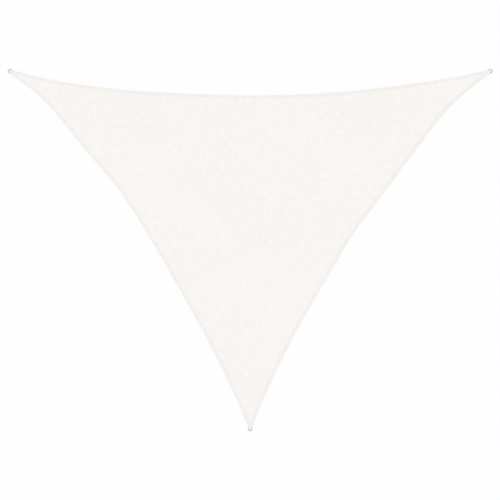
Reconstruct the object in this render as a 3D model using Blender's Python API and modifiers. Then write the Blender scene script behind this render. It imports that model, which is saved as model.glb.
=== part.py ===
"""Triangular shade sail of knitted cloth, with a D-ring at each corner.

The sail lies flat and face up on the ground: its long side runs along +X, and
its lower corner points towards -Y. The origin is on the ground under the middle
of the sail. Lengths are in metres.
"""

import math
from collections import namedtuple

import bmesh
import bpy
from mathutils import Vector
from mathutils.geometry import intersect_line_line_2d

# ---------------------------------------------------------------- sizes

MM = 0.001
GAP = 0.3 * MM                  # between pieces that touch
WELD = 0.01 * MM                # points nearer to each other than this are one

LONG_SIDE = 5.000               # from ring centre to ring centre, along the top
SHORT_SIDE = 4.487              # from ring centre to ring centre, down each slant

CLOTH_THICKNESS = 1.5 * MM
HEM_THICKNESS = 3.0 * MM        # the edge is turned over and sewn down
HEM_WIDTH = 34 * MM
HEM_ROUNDING = 1.0 * MM         # radius of the folded edge
CUTTER_MARGIN = 5 * MM          # how far the hem's cutter stands above it
SPANS_PER_SIDE = 40             # straight runs that make up each hollow side

WIRE = 5 * MM                   # diameter of the D-ring's wire
RING_WIDTH = 32 * MM            # between the middles of the ring's two sides
RING_REACH = 32 * MM            # from the middle of the bar to the middle of the bow
RING_BEND = 3.5 * MM            # radius of the bend at each end of the bar
BOW_SPANS = 24                  # straight runs in the ring's round bow
BEND_SPANS = 5                  # straight runs in each bend beside the bar

WEBBING = 1.6 * MM              # thickness of the tab's webbing
TAB_WIDTH = 25 * MM
TAB_LEG = 80 * MM               # how far each leg runs back over the corner
TAB_SETTLE = 16 * MM            # length over which the upper leg comes down
LOOP_SPANS = 16                 # straight runs in the tab's loop round the bar
SETTLE_SPANS = 6                # straight runs in the part that comes down

TIP_WIDTH = 36 * MM             # the cut-off corner of the cloth
TIP_TO_BAR = 8 * MM             # from the cloth's tip to the middle of the bar
LIFT_MARGIN = 6 * MM            # level cloth past the end of the tab's leg
LIFT_RUN = 120 * MM             # length over which the corner comes down again
LIFT_SPANS = 6                  # folds that make up that slope

# heights, from the ground up
LOOP_RADIUS = WIRE / 2 + GAP + WEBBING / 2
BAR_HEIGHT = WEBBING / 2 + LOOP_RADIUS
CORNER_LIFT = WEBBING + GAP
UPPER_LEG_HEIGHT = CORNER_LIFT + HEM_THICKNESS + GAP + WEBBING / 2
RING_TILT = math.asin((BAR_HEIGHT - WIRE / 2) / RING_REACH)

# The hollow of each side. share is the place along the straight line between the
# two ring centres, and inset is how far the cloth's edge lies inside that line,
# as a share of its length. The sides are walked counter-clockwise.
Row = namedtuple("Row", "share inset")

LEFT_SIDE = (                   # upper left corner to lower corner
    Row(0.030, 0.0065),
    Row(0.080, 0.0227),
    Row(0.150, 0.0348),
    Row(0.250, 0.0441),
    Row(0.350, 0.0556),
    Row(0.435, 0.0566),
    Row(0.530, 0.0531),
    Row(0.630, 0.0455),
    Row(0.750, 0.0359),
    Row(0.850, 0.0240),
    Row(0.940, 0.0098),
)
RIGHT_SIDE = (                  # lower corner to upper right corner
    Row(0.060, 0.0106),
    Row(0.150, 0.0255),
    Row(0.250, 0.0380),
    Row(0.370, 0.0467),
    Row(0.435, 0.0502),
    Row(0.500, 0.0541),
    Row(0.630, 0.0481),
    Row(0.750, 0.0419),
    Row(0.830, 0.0379),
    Row(0.900, 0.0272),
    Row(0.960, 0.0101),
)
TOP_SIDE = (                    # upper right corner to upper left corner
    Row(0.040, 0.0061),
    Row(0.100, 0.0176),
    Row(0.200, 0.0322),
    Row(0.310, 0.0440),
    Row(0.400, 0.0496),
    Row(0.500, 0.0518),
    Row(0.600, 0.0487),
    Row(0.690, 0.0447),
    Row(0.800, 0.0361),
    Row(0.900, 0.0212),
    Row(0.960, 0.0080),
)


# ---------------------------------------------------------------- corners

Corner = namedtuple("Corner", "name ring_centre outward across bar_centre")


def make_corners():
    """The three corners, counter-clockwise from the upper left one."""
    half_width = LONG_SIDE / 2
    half_depth = math.sqrt(SHORT_SIDE ** 2 - half_width ** 2) / 2
    centres = {
        "left": Vector((-half_width, half_depth)),
        "lower": Vector((0.0, -half_depth)),
        "right": Vector((half_width, half_depth)),
    }
    corners = []
    for name, centre in centres.items():
        inward = Vector((0.0, 0.0))
        for other_name, other in centres.items():
            if other_name != name:
                inward += (other - centre).normalized()
        outward = -inward.normalized()
        across = Vector((-outward.y, outward.x))
        bar_centre = centre - outward * RING_REACH / 2
        corners.append(Corner(name, centre, outward, across, bar_centre))
    return corners


# ---------------------------------------------------------------- outline

def smooth_values(rows, places):
    """Read a smooth curve through the rows at each of the places."""
    slopes = []
    for i in range(len(rows)):
        before = rows[max(i - 1, 0)]
        after = rows[min(i + 1, len(rows) - 1)]
        slopes.append((after.inset - before.inset) / (after.share - before.share))
    values = []
    for place in places:
        i = 0
        while i < len(rows) - 2 and place > rows[i + 1].share:
            i += 1
        run = rows[i + 1].share - rows[i].share
        s = (place - rows[i].share) / run
        values.append(
            (2 * s ** 3 - 3 * s ** 2 + 1) * rows[i].inset
            + (s ** 3 - 2 * s ** 2 + s) * run * slopes[i]
            + (3 * s ** 2 - 2 * s ** 3) * rows[i + 1].inset
            + (s ** 3 - s ** 2) * run * slopes[i + 1]
        )
    return values


def side_line(start, end, table):
    """The cloth's edge from one corner's tip to the next one's."""
    chord = end.ring_centre - start.ring_centre
    length = chord.length
    along = chord / length
    inward = Vector((-along.y, along.x))

    def tip_row(corner, sign):
        tip = corner.bar_centre - corner.outward * TIP_TO_BAR
        tip += corner.across * sign * TIP_WIDTH / 2
        offset = tip - start.ring_centre
        return Row(offset.dot(along) / length, offset.dot(inward) / length)

    rows = (tip_row(start, 1),) + table + (tip_row(end, -1),)
    first = rows[0].share
    last = rows[-1].share
    shares = [first + (last - first) * i / SPANS_PER_SIDE for i in range(SPANS_PER_SIDE + 1)]
    insets = smooth_values(rows, shares)
    return [
        start.ring_centre + chord * share + inward * inset * length
        for share, inset in zip(shares, insets)
    ]


def shifted_line(line, distance):
    """The same line, moved to its left by a distance."""
    moved = []
    for i, point in enumerate(line):
        direction = (line[min(i + 1, len(line) - 1)] - line[max(i - 1, 0)]).normalized()
        moved.append(point + Vector((-direction.y, direction.x)) * distance)
    return moved


def crossing(first, second):
    """Where the first line crosses the second one, and the runs that cross."""
    for i in range(len(first) - 1, 0, -1):
        for j in range(len(second) - 1):
            point = intersect_line_line_2d(first[i - 1], first[i], second[j], second[j + 1])
            if point is not None:
                return point, i, j
    raise ValueError("the hem lines don't cross")


def hem_inner_line(sides):
    """The closed line along the inner edge of the hem, pointed at each corner."""
    lines = [shifted_line(side, HEM_WIDTH) for side in sides]
    joints = [crossing(line, lines[(k + 1) % len(lines)]) for k, line in enumerate(lines)]
    points = []
    for k, line in enumerate(lines):
        start_run = joints[k - 1][2]
        point, end_run, _ = joints[k]
        points += line[start_run + 1:end_run]
        points.append(point)
    return points


# ---------------------------------------------------------------- scene helpers

def clear_scene():
    for obj in list(bpy.data.objects):
        bpy.data.objects.remove(obj, do_unlink=True)


def new_collection(name):
    collection = bpy.data.collections.new(name)
    bpy.context.scene.collection.children.link(collection)
    return collection


def new_material(name, colour, roughness, metallic=0.0):
    material = bpy.data.materials.new(name)
    material.use_nodes = True
    shader = material.node_tree.nodes["Principled BSDF"]
    shader.inputs["Base Color"].default_value = (*colour, 1.0)
    shader.inputs["Roughness"].default_value = roughness
    shader.inputs["Metallic"].default_value = metallic
    return material


def flat_curve(name, points, low, high, rounding=0.0):
    """A flat outline as a filled 2D curve, from one height up to another."""
    curve = bpy.data.curves.new(name, "CURVE")
    curve.dimensions = "2D"
    curve.fill_mode = "BOTH"
    curve.extrude = (high - low) / 2 - rounding
    curve.bevel_depth = rounding
    curve.bevel_resolution = 1
    curve.offset = -rounding
    spline = curve.splines.new("POLY")
    spline.points.add(len(points) - 1)
    for spline_point, point in zip(spline.points, points):
        spline_point.co = (point.x, point.y, 0.0, 1.0)
    spline.use_cyclic_u = True
    obj = bpy.data.objects.new(name, curve)
    obj.location.z = (low + high) / 2
    return obj


def to_mesh(obj, collection):
    """Turn a curve object into a welded mesh object with the same name and place."""
    bpy.context.view_layer.update()
    graph = bpy.context.evaluated_depsgraph_get()
    mesh = bpy.data.meshes.new_from_object(obj.evaluated_get(graph))
    name = obj.name
    matrix = obj.matrix_world.copy()
    bpy.data.objects.remove(obj, do_unlink=True)
    bm = bmesh.new()
    bm.from_mesh(mesh)
    bmesh.ops.remove_doubles(bm, verts=bm.verts, dist=WELD)
    bmesh.ops.transform(bm, matrix=matrix, verts=bm.verts)
    bm.to_mesh(mesh)
    bm.free()
    mesh.name = name
    result = bpy.data.objects.new(name, mesh)
    collection.objects.link(result)
    return result


# ---------------------------------------------------------------- the cloth

def lift_corner(bm, corner):
    """Fold the cloth's corner up on to the lower leg of its tab."""
    level = TAB_LEG + LIFT_MARGIN
    for i in range(LIFT_SPANS + 1):
        behind = level + LIFT_RUN * i / LIFT_SPANS
        fold = corner.bar_centre - corner.outward * behind
        bmesh.ops.bisect_plane(
            bm,
            geom=bm.verts[:] + bm.edges[:] + bm.faces[:],
            dist=WELD,
            plane_co=(fold.x, fold.y, 0.0),
            plane_no=(corner.outward.x, corner.outward.y, 0.0),
        )
    for vert in bm.verts:
        behind = (corner.bar_centre - vert.co.xy).dot(corner.outward)
        s = min(max((behind - level) / LIFT_RUN, 0.0), 1.0)
        vert.co.z += CORNER_LIFT * (1 - (3 * s ** 2 - 2 * s ** 3))


def build_cloth(corners, material, parts, cutters):
    """One panel with hollow sides, thicker along its turned hem."""
    left, lower, right = corners
    sides = [
        side_line(left, lower, LEFT_SIDE),
        side_line(lower, right, RIGHT_SIDE),
        side_line(right, left, TOP_SIDE),
    ]
    outline = [point for side in sides for point in side]
    slab_curve = flat_curve("sail_cloth", outline, 0.0, HEM_THICKNESS, HEM_ROUNDING)
    parts.objects.link(slab_curve)
    cloth = to_mesh(slab_curve, parts)

    above_hem = HEM_THICKNESS + CUTTER_MARGIN
    cutter_curve = flat_curve("hem_step_cutter", hem_inner_line(sides), CLOTH_THICKNESS, above_hem)
    cutters.objects.link(cutter_curve)
    cutter = to_mesh(cutter_curve, cutters)
    cutter.hide_render = True
    cutter.display_type = "WIRE"

    step = cloth.modifiers.new("hem step", "BOOLEAN")
    step.object = cutter
    step.operation = "DIFFERENCE"
    step.solver = "EXACT"
    bpy.context.view_layer.update()
    graph = bpy.context.evaluated_depsgraph_get()
    mesh = bpy.data.meshes.new_from_object(cloth.evaluated_get(graph))
    cloth.modifiers.clear()

    bm = bmesh.new()
    bm.from_mesh(mesh)
    for corner in corners:
        lift_corner(bm, corner)
    bm.to_mesh(mesh)
    bm.free()
    mesh.name = "sail_cloth"
    mesh.materials.clear()
    mesh.materials.append(material)
    cloth.data = mesh
    return cloth


# ---------------------------------------------------------------- D-rings

def ring_path():
    """Middle line of the wire: the bar on Y, then the bow reaching towards +X."""
    half = RING_WIDTH / 2
    bow_centre = RING_REACH - half
    points = []
    for i in range(BEND_SPANS + 1):
        turn = math.pi / 2 * i / BEND_SPANS
        points.append((RING_BEND * (1 - math.sin(turn)), -half + RING_BEND * (1 - math.cos(turn))))
    points += [(x, -y) for x, y in reversed(points)]
    for i in range(BOW_SPANS + 1):
        turn = math.pi / 2 - math.pi * i / BOW_SPANS
        points.append((bow_centre + half * math.cos(turn), half * math.sin(turn)))
    return points


def ring_curve():
    curve = bpy.data.curves.new("d_ring", "CURVE")
    curve.dimensions = "3D"
    curve.bevel_depth = WIRE / 2
    curve.bevel_resolution = 4
    curve.use_fill_caps = True
    points = ring_path()
    spline = curve.splines.new("POLY")
    spline.points.add(len(points) - 1)
    for spline_point, (x, y) in zip(spline.points, points):
        spline_point.co = (x, y, 0.0, 1.0)
    spline.use_cyclic_u = True
    spline.use_smooth = True
    return curve


def place_at_corner(obj, corner, height, tilt=0.0):
    """Stand the object on the corner's bar, with its +X pointing outward."""
    obj.location = (corner.bar_centre.x, corner.bar_centre.y, height)
    obj.rotation_euler = (0.0, tilt, math.atan2(corner.outward.y, corner.outward.x))


# ---------------------------------------------------------------- corner tabs

def tab_path():
    """Side view of the webbing's middle, from the lower leg round to the upper one."""
    points = [(-TAB_LEG, WEBBING / 2)]
    for i in range(LOOP_SPANS + 1):
        turn = -math.pi / 2 + math.pi * i / LOOP_SPANS
        points.append((LOOP_RADIUS * math.cos(turn), BAR_HEIGHT + LOOP_RADIUS * math.sin(turn)))
    drop = BAR_HEIGHT + LOOP_RADIUS - UPPER_LEG_HEIGHT
    for i in range(1, SETTLE_SPANS + 1):
        s = i / SETTLE_SPANS
        points.append((-TAB_SETTLE * s, UPPER_LEG_HEIGHT + drop * (1 - (3 * s ** 2 - 2 * s ** 3))))
    points.append((-TAB_LEG, UPPER_LEG_HEIGHT))
    return points


def tab_mesh():
    """A ribbon along the side view, as wide as the webbing."""
    bm = bmesh.new()
    verts = [bm.verts.new((x, -TAB_WIDTH / 2, z)) for x, z in tab_path()]
    edges = [bm.edges.new(pair) for pair in zip(verts, verts[1:])]
    extruded = bmesh.ops.extrude_edge_only(bm, edges=edges)
    new_verts = [item for item in extruded["geom"] if isinstance(item, bmesh.types.BMVert)]
    bmesh.ops.translate(bm, verts=new_verts, vec=(0.0, TAB_WIDTH, 0.0))
    bmesh.ops.recalc_face_normals(bm, faces=bm.faces)
    mesh = bpy.data.meshes.new("webbing_tab")
    bm.to_mesh(mesh)
    bm.free()
    return mesh


def add_webbing_thickness(obj):
    solidify = obj.modifiers.new("webbing", "SOLIDIFY")
    solidify.thickness = WEBBING
    solidify.offset = 0.0
    solidify.use_even_offset = True


# ---------------------------------------------------------------- assembly

def main():
    clear_scene()
    parts = new_collection("shade_sail")
    cutters = new_collection("shade_sail_cutters")
    cloth_finish = new_material("knitted_cloth", (0.93, 0.92, 0.90), 0.85)
    webbing_finish = new_material("webbing", (0.90, 0.89, 0.87), 0.75)
    ring_finish = new_material("polished_steel", (0.66, 0.66, 0.67), 0.22, 1.0)

    sail = bpy.data.objects.new("shade_sail", None)
    parts.objects.link(sail)

    corners = make_corners()
    cloth = build_cloth(corners, cloth_finish, parts, cutters)
    cloth.parent = sail

    wire = ring_curve()
    wire.materials.append(ring_finish)
    webbing = tab_mesh()
    webbing.materials.append(webbing_finish)
    for corner in corners:
        ring = bpy.data.objects.new("ring_" + corner.name, wire)
        parts.objects.link(ring)
        place_at_corner(ring, corner, BAR_HEIGHT, RING_TILT)
        ring.parent = sail

        tab = bpy.data.objects.new("tab_" + corner.name, webbing)
        parts.objects.link(tab)
        place_at_corner(tab, corner, 0.0)
        tab.parent = sail
        add_webbing_thickness(tab)


main()
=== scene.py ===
"""Triangular shade sail of knitted cloth, laid out flat: its finished look.

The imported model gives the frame. Round it this file makes the cloth with its turned
hem, the sewing, the three webbing tabs with their D-rings, and a plain pale studio.
Lengths are in metres.
"""

import math
from collections import namedtuple

import bmesh
import bpy
import numpy as np
from mathutils.geometry import delaunay_2d_cdt
from mathutils.kdtree import KDTree
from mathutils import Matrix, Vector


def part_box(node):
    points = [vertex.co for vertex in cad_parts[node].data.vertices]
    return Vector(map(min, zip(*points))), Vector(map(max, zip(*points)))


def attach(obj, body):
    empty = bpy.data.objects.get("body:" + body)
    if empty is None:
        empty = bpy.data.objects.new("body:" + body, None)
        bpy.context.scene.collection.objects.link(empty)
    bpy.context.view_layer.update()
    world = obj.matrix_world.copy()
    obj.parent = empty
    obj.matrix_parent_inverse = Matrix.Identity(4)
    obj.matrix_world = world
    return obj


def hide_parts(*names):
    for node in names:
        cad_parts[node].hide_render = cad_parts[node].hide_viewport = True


bl_info = {
    "name": "Shade Sail",
    "version": (1, 0, 0),
    "blender": (4, 5, 0),
    "location": "3D Viewport > Sidebar > Shade Sail",
    "description": "Makes a laid-out triangular shade sail with its sewing, tabs and rings",
    "category": "Add Mesh",
}

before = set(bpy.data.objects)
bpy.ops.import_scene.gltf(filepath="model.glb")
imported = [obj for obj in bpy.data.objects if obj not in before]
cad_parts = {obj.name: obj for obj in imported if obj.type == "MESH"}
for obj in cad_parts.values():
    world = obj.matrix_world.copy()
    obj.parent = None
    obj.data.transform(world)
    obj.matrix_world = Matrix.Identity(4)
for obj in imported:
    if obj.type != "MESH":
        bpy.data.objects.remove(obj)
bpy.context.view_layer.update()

MM = 0.001
BODY = "root"

# ---------------------------------------------------------------- sizes of the sail

LONG_SIDE = 5.000               # from ring centre to ring centre, along the top
SHORT_SIDE = 4.487              # from ring centre to ring centre, down each slant
GAP = 0.3 * MM                  # between pieces that touch
WIRE = 5 * MM                   # diameter of the D-ring's wire
RING_REACH = 32 * MM            # from the middle of the bar to the middle of the bow
RING_BEND = 3.5 * MM            # radius of the bend at each end of the bar
WEBBING = 1.6 * MM              # thickness of the tab's webbing
TAB_LEG = 80 * MM               # how far each leg runs back over the corner
TAB_SETTLE = 16 * MM            # length over which the upper leg comes down
HEM_THICKNESS = 3.0 * MM
CLOTH_THICKNESS = 1.5 * MM
TIP_WIDTH = 36 * MM             # the cut-off corner of the cloth
TIP_TO_BAR = 8 * MM             # from the cloth's tip to the middle of the bar
LIFT_MARGIN = 6 * MM            # level cloth past the end of the tab's leg
LIFT_RUN = 120 * MM             # length over which the corner comes down again
FIT = 1.0 * MM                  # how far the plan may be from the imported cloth's box

LOOP_RADIUS = WIRE / 2 + GAP + WEBBING / 2
BAR_HEIGHT = WEBBING / 2 + LOOP_RADIUS
CORNER_LIFT = WEBBING + GAP
UPPER_LEG_HEIGHT = CORNER_LIFT + HEM_THICKNESS + GAP + WEBBING / 2
RING_TILT = math.asin((BAR_HEIGHT - WIRE / 2) / RING_REACH)


def frame_width(node):
    """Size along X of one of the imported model's nodes."""
    low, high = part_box(node)
    return high.x - low.x


RING_WIDTH = frame_width("ring_lower") - WIRE
TAB_WIDTH = frame_width("tab_lower")

# The hollow of each side. share is the place along the straight line between the two
# ring centres, and inset is how far the cloth's edge lies inside that line, as a share
# of its length. The sides are walked counter-clockwise.
Row = namedtuple("Row", "share inset")

LEFT_SIDE = (                   # upper left corner to lower corner
    Row(0.030, 0.0065), Row(0.080, 0.0227), Row(0.150, 0.0348), Row(0.250, 0.0441),
    Row(0.350, 0.0556), Row(0.435, 0.0566), Row(0.530, 0.0531), Row(0.630, 0.0455),
    Row(0.750, 0.0359), Row(0.850, 0.0240), Row(0.940, 0.0098),
)
RIGHT_SIDE = (                  # lower corner to upper right corner
    Row(0.060, 0.0106), Row(0.150, 0.0255), Row(0.250, 0.0380), Row(0.370, 0.0467),
    Row(0.435, 0.0502), Row(0.500, 0.0541), Row(0.630, 0.0481), Row(0.750, 0.0419),
    Row(0.830, 0.0379), Row(0.900, 0.0272), Row(0.960, 0.0101),
)
TOP_SIDE = (                    # upper right corner to upper left corner
    Row(0.040, 0.0061), Row(0.100, 0.0176), Row(0.200, 0.0322), Row(0.310, 0.0440),
    Row(0.400, 0.0496), Row(0.500, 0.0518), Row(0.600, 0.0487), Row(0.690, 0.0447),
    Row(0.800, 0.0361), Row(0.900, 0.0212), Row(0.960, 0.0080),
)

# Section through the hem, in millimetres, from the panel's underside out round the fold
# and back to the panel's upper face. The dips are where the two rows are sewn. shade is
# how much of the hem's own colour shows. It is partly the doubled cloth's own darker tone,
# and partly painted light: less of it on the rounded fold, as a painted highlight where the
# fold catches light, and a painted shade that fades inward past the hem's raw edge.
HemPoint = namedtuple("HemPoint", "inset height shade")

HEM_SECTION = (
    HemPoint(46.0, 0.00, 0.20), HemPoint(28.6, 0.00, 0.75), HemPoint(27.0, 0.45, 0.85),
    HemPoint(25.4, 0.00, 0.85), HemPoint(8.6, 0.00, 0.90), HemPoint(7.0, 0.45, 0.80),
    HemPoint(5.4, 0.00, 0.45), HemPoint(1.3, 0.00, 0.10), HemPoint(0.4, 0.40, 0.05),
    HemPoint(0.0, 1.10, 0.00), HemPoint(0.0, 1.90, 0.00), HemPoint(0.4, 2.60, 0.00),
    HemPoint(1.3, 2.95, 0.03), HemPoint(3.4, 3.00, 0.15), HemPoint(5.4, 2.88, 0.42),
    HemPoint(7.0, 2.50, 0.78), HemPoint(8.6, 2.88, 0.97), HemPoint(12.0, 3.02, 1.00),
    HemPoint(17.0, 3.10, 0.84), HemPoint(22.0, 3.02, 0.58), HemPoint(25.4, 2.88, 0.42),
    HemPoint(27.0, 2.50, 0.42), HemPoint(28.6, 2.85, 0.34), HemPoint(31.5, 2.95, 0.26),
    HemPoint(33.4, 2.80, 0.23), HemPoint(34.0, 2.35, 0.23), HemPoint(34.2, 1.80, 0.21),
    HemPoint(34.9, 1.55, 0.15), HemPoint(38.0, 1.50, 0.12), HemPoint(46.0, 1.50, 0.06),
)
SEWN_INSETS = (7.0 * MM, 27.0 * MM)
TURNED_BACK = 34.5 * MM         # how far the hem's upper layer reaches in


# ---------------------------------------------------------------- settings

def colour_setting(name, description, default):
    return bpy.props.FloatVectorProperty(
        name=name, description=description, default=default,
        subtype="COLOR", size=3, min=0.0, max=1.0,
    )


def length_setting(name, description, default, most):
    return bpy.props.FloatProperty(
        name=name, description=description, default=default,
        subtype="DISTANCE", unit="LENGTH", min=0.0, max=most, precision=5,
    )


def number_setting(name, description, default, most, subtype="NONE"):
    return bpy.props.FloatProperty(
        name=name, description=description, default=default,
        subtype=subtype, min=0.0, max=most,
    )


class SailClothSettings(bpy.types.PropertyGroup):
    """Colours and surface of the cloth"""

    colour: colour_setting("Colour", "Colour of the knitted cloth", (0.823, 0.7965, 0.773))
    hem_colour: colour_setting(
        "Hem Colour", "Colour of the doubled cloth in the hem", (0.763, 0.760, 0.740))
    grain: number_setting(
        "Grain", "How uneven the tapes are, as short streaks both ways", 0.045, 0.3, "FACTOR")
    wale: length_setting("Wale Pitch", "Width of one column of knit loops", 2.8 * MM, 0.1)
    course: length_setting("Course Pitch", "Length of one row of knit loops", 3.6 * MM, 0.1)
    relief: length_setting("Knit Relief", "Depth of the knit's surface", 0.25 * MM, 0.01)
    swell: number_setting(
        "Swell", "How much of the low swells shows where the cloth lies", 1.0, 3.0, "FACTOR")
    edge_wave: length_setting("Hem Wave", "Height of the waves along the hem", 1.1 * MM, 0.02)
    pucker: length_setting("Pucker", "Depth of the puckers between stitches", 0.18 * MM, 0.005)


class SailSewingSettings(bpy.types.PropertyGroup):
    """Thread and stitches of the hem and the tabs"""

    colour: colour_setting("Thread Colour", "Colour of the sewing thread", (0.87, 0.86, 0.85))
    pitch: length_setting("Hem Stitch", "Length of one stitch in the hem", 5.0 * MM, 0.1)
    tab_pitch: length_setting("Tab Stitch", "Length of one stitch in a tab", 3.4 * MM, 0.1)
    thread: length_setting("Thread", "Thickness of the thread", 0.8 * MM, 0.01)
    seed: bpy.props.IntProperty(
        name="Seed", description="Picks the small differences between stitches", default=7)


class SailTabSettings(bpy.types.PropertyGroup):
    """Webbing of the corner tabs"""

    colour: colour_setting("Webbing Colour", "Colour of the webbing", (0.795, 0.787, 0.775))
    width: length_setting("Width", "Width of the webbing", TAB_WIDTH, 0.5)
    cord: length_setting("Cord Pitch", "Width of one lengthwise cord", 1.7 * MM, 0.05)
    relief: length_setting("Cord Relief", "How far each cord stands up", 0.14 * MM, 0.01)


class SailRingSettings(bpy.types.PropertyGroup):
    """Wire of the D-rings"""

    colour: colour_setting("Steel Colour", "Colour of the polished steel", (0.42, 0.42, 0.43))
    wire: length_setting("Wire", "Diameter of the ring's wire", WIRE, 0.1)
    width: length_setting("Width", "Width between the middles of the two sides", RING_WIDTH, 1.0)
    sides: bpy.props.IntProperty(
        name="Sides", description="Faces round the wire", default=20, min=6, max=64)


class SailStudioSettings(bpy.types.PropertyGroup):
    """Floor, light and camera"""

    floor: colour_setting("Floor", "Colour of the floor", (0.84, 0.84, 0.84))
    sky: number_setting(
        "Room Light", "Strength of the even light from all round", 0.992, 10.0)
    key: number_setting(
        "Key Light", "Strength of the soft light from one side", 0.67, 10.0)
    view_width: length_setting("View Width", "Width of floor that the camera sees", 5.2, 50.0)
    lens: bpy.props.FloatProperty(
        name="Lens", description="Focal length, in millimetres",
        default=50.0, min=10.0, max=400.0, subtype="DISTANCE_CAMERA", unit="CAMERA")


SETTINGS = {
    "sail_cloth": SailClothSettings,
    "sail_sewing": SailSewingSettings,
    "sail_tabs": SailTabSettings,
    "sail_rings": SailRingSettings,
    "sail_studio": SailStudioSettings,
}


# ---------------------------------------------------------------- plan of the sail

MEETING_STEPS = 8               # enough to find where two nearly straight sides meet

Corner = namedtuple("Corner", "name outward across bar_centre")


def unit(vector):
    return vector / np.linalg.norm(vector)


def smooth_step(values):
    """From 0 to 1 with soft ends, as the values go from 0 to 1."""
    s = np.clip(values, 0.0, 1.0)
    return s * s * (3 - 2 * s)


def left_of(direction):
    """The direction a quarter turn to the left."""
    return np.stack((-direction[..., 1], direction[..., 0]), axis=-1)


def measured(line):
    """How far along a line each of its points is, and the line's direction there."""
    steps = np.linalg.norm(np.diff(line, axis=0), axis=1)
    places = np.concatenate(([0.0], np.cumsum(steps)))
    slopes = np.gradient(line, places, axis=0)
    return places, slopes / np.linalg.norm(slopes, axis=1)[:, None]


def ring_centres():
    """Plan position of each ring, counter-clockwise from the upper left one."""
    half_width = LONG_SIDE / 2
    half_depth = math.sqrt(SHORT_SIDE ** 2 - half_width ** 2) / 2
    return {
        "left": np.array((-half_width, half_depth)),
        "lower": np.array((0.0, -half_depth)),
        "right": np.array((half_width, half_depth)),
    }


def make_corners():
    """Each corner points outward along the middle line between its two sides."""
    corners = {}
    centres = ring_centres()
    for name, centre in centres.items():
        others = [other for key, other in centres.items() if key != name]
        outward = -unit(sum(unit(other - centre) for other in others))
        bar_centre = centre - outward * RING_REACH / 2
        corners[name] = Corner(name, outward, left_of(outward), bar_centre)
    return corners


class SailSide:
    """One hollow side as a smooth line, with places along it measured in metres."""

    SAMPLES = 2401

    def __init__(self, start, end, table):
        self.start = start
        self.end = end
        centres = ring_centres()
        first = centres[start.name]
        chord = centres[end.name] - first
        length = np.linalg.norm(chord)
        along = chord / length
        inward = left_of(along)

        def tip_row(corner, sign):
            tip = corner.bar_centre - corner.outward * TIP_TO_BAR
            tip = tip + corner.across * sign * TIP_WIDTH / 2
            return Row((tip - first) @ along / length, (tip - first) @ inward / length)

        rows = np.array((tip_row(start, 1), *table, tip_row(end, -1)))
        shares = np.linspace(rows[0, 0], rows[-1, 0], self.SAMPLES)
        insets = self.smooth_values(rows, shares)
        self.line = first + np.outer(shares, chord) + np.outer(insets * length, inward)
        self.places, self.directions = measured(self.line)
        self.length = self.places[-1]

    @staticmethod
    def smooth_values(rows, shares):
        """Read a smooth curve through the table's rows at each of the shares."""
        before = np.maximum(np.arange(len(rows)) - 1, 0)
        after = np.minimum(np.arange(len(rows)) + 1, len(rows) - 1)
        slopes = (rows[after, 1] - rows[before, 1]) / (rows[after, 0] - rows[before, 0])
        i = np.clip(np.searchsorted(rows[:, 0], shares) - 1, 0, len(rows) - 2)
        run = rows[i + 1, 0] - rows[i, 0]
        s = (shares - rows[i, 0]) / run
        return (
            (2 * s ** 3 - 3 * s ** 2 + 1) * rows[i, 1]
            + (s ** 3 - 2 * s ** 2 + s) * run * slopes[i]
            + (3 * s ** 2 - 2 * s ** 3) * rows[i + 1, 1]
            + (s ** 3 - s ** 2) * run * slopes[i + 1]
        )

    def between(self, samples, places):
        """Read what the samples hold at places along the side."""
        return np.stack([np.interp(places, self.places, column) for column in samples.T], axis=-1)

    def direction(self, places):
        return self.between(self.directions, places)

    def at(self, places, inset):
        """Points at places along the side, moved in from the edge by an inset."""
        places = np.asarray(places, float)
        on_line = np.clip(places, 0.0, self.length)
        direction = self.direction(on_line)
        past_end = (places - on_line)[..., None] * direction
        return self.between(self.line, on_line) + past_end + left_of(direction) * inset


def behind_bar(corner, points):
    """How far points lie behind the middle of a corner's bar, towards the sail."""
    return (corner.bar_centre - points) @ corner.outward


def way_to_tip(side, place, corner, inset):
    """How much further along a side it comes to the cut-off tip of the cloth."""
    gap = behind_bar(corner, side.at(place, inset)) - TIP_TO_BAR
    return gap / (side.direction(place) @ corner.outward)


def meeting(before, after, inset):
    """Where two neighbouring sides end at one inset: the place along each of them.

    They end on the cut-off tip, or further in where their lines cross.
    """
    corner = after.start
    end, start = before.length, 0.0
    for _ in range(MEETING_STEPS):
        step = np.column_stack((before.direction(end), -after.direction(start)))
        ahead, back = np.linalg.solve(step, after.at(start, inset) - before.at(end, inset))
        end, start = end + ahead, start + back
    if behind_bar(corner, after.at(start, inset)) >= TIP_TO_BAR:
        return end, start
    end, start = before.length, 0.0
    for _ in range(MEETING_STEPS):
        end += way_to_tip(before, end, corner, inset)
        start += way_to_tip(after, start, corner, inset)
    return end, start


def make_sides(corners):
    """The three sides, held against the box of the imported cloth."""
    left, lower, right = corners["left"], corners["lower"], corners["right"]
    sides = [
        SailSide(left, lower, LEFT_SIDE),
        SailSide(lower, right, RIGHT_SIDE),
        SailSide(right, left, TOP_SIDE),
    ]
    edge = np.concatenate([side.line for side in sides])
    low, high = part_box("sail_cloth")
    away = np.abs(np.concatenate((edge.min(0) - low.xy, edge.max(0) - high.xy))).max()
    if away > FIT:
        raise ValueError(f"the plan is {away / MM:.2f} mm away from the packed cloth")
    return sides


CORNERS = make_corners()
SIDES = make_sides(CORNERS)


def side_ends(number, inset):
    """The places along one side where it starts and ends at one inset."""
    before, side, after = SIDES[number - 1], SIDES[number], SIDES[(number + 1) % len(SIDES)]
    return meeting(before, side, inset)[1], meeting(side, after, inset)[0]


# ---------------------------------------------------------------- how the cloth lies

QUIET_CORNER = 0.25             # no swells or waves this near to a corner
QUIET_RUN = 0.55                # and they come up over this length
WAVE_PITCH = 0.155              # from one wave of the hem to the next
WAVE_REACH = 0.13               # how far in from the edge the waves reach
PUCKER_PITCH = 44 * MM
PUCKER_REACH = 7 * MM           # to each side of a sewn row

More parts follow.
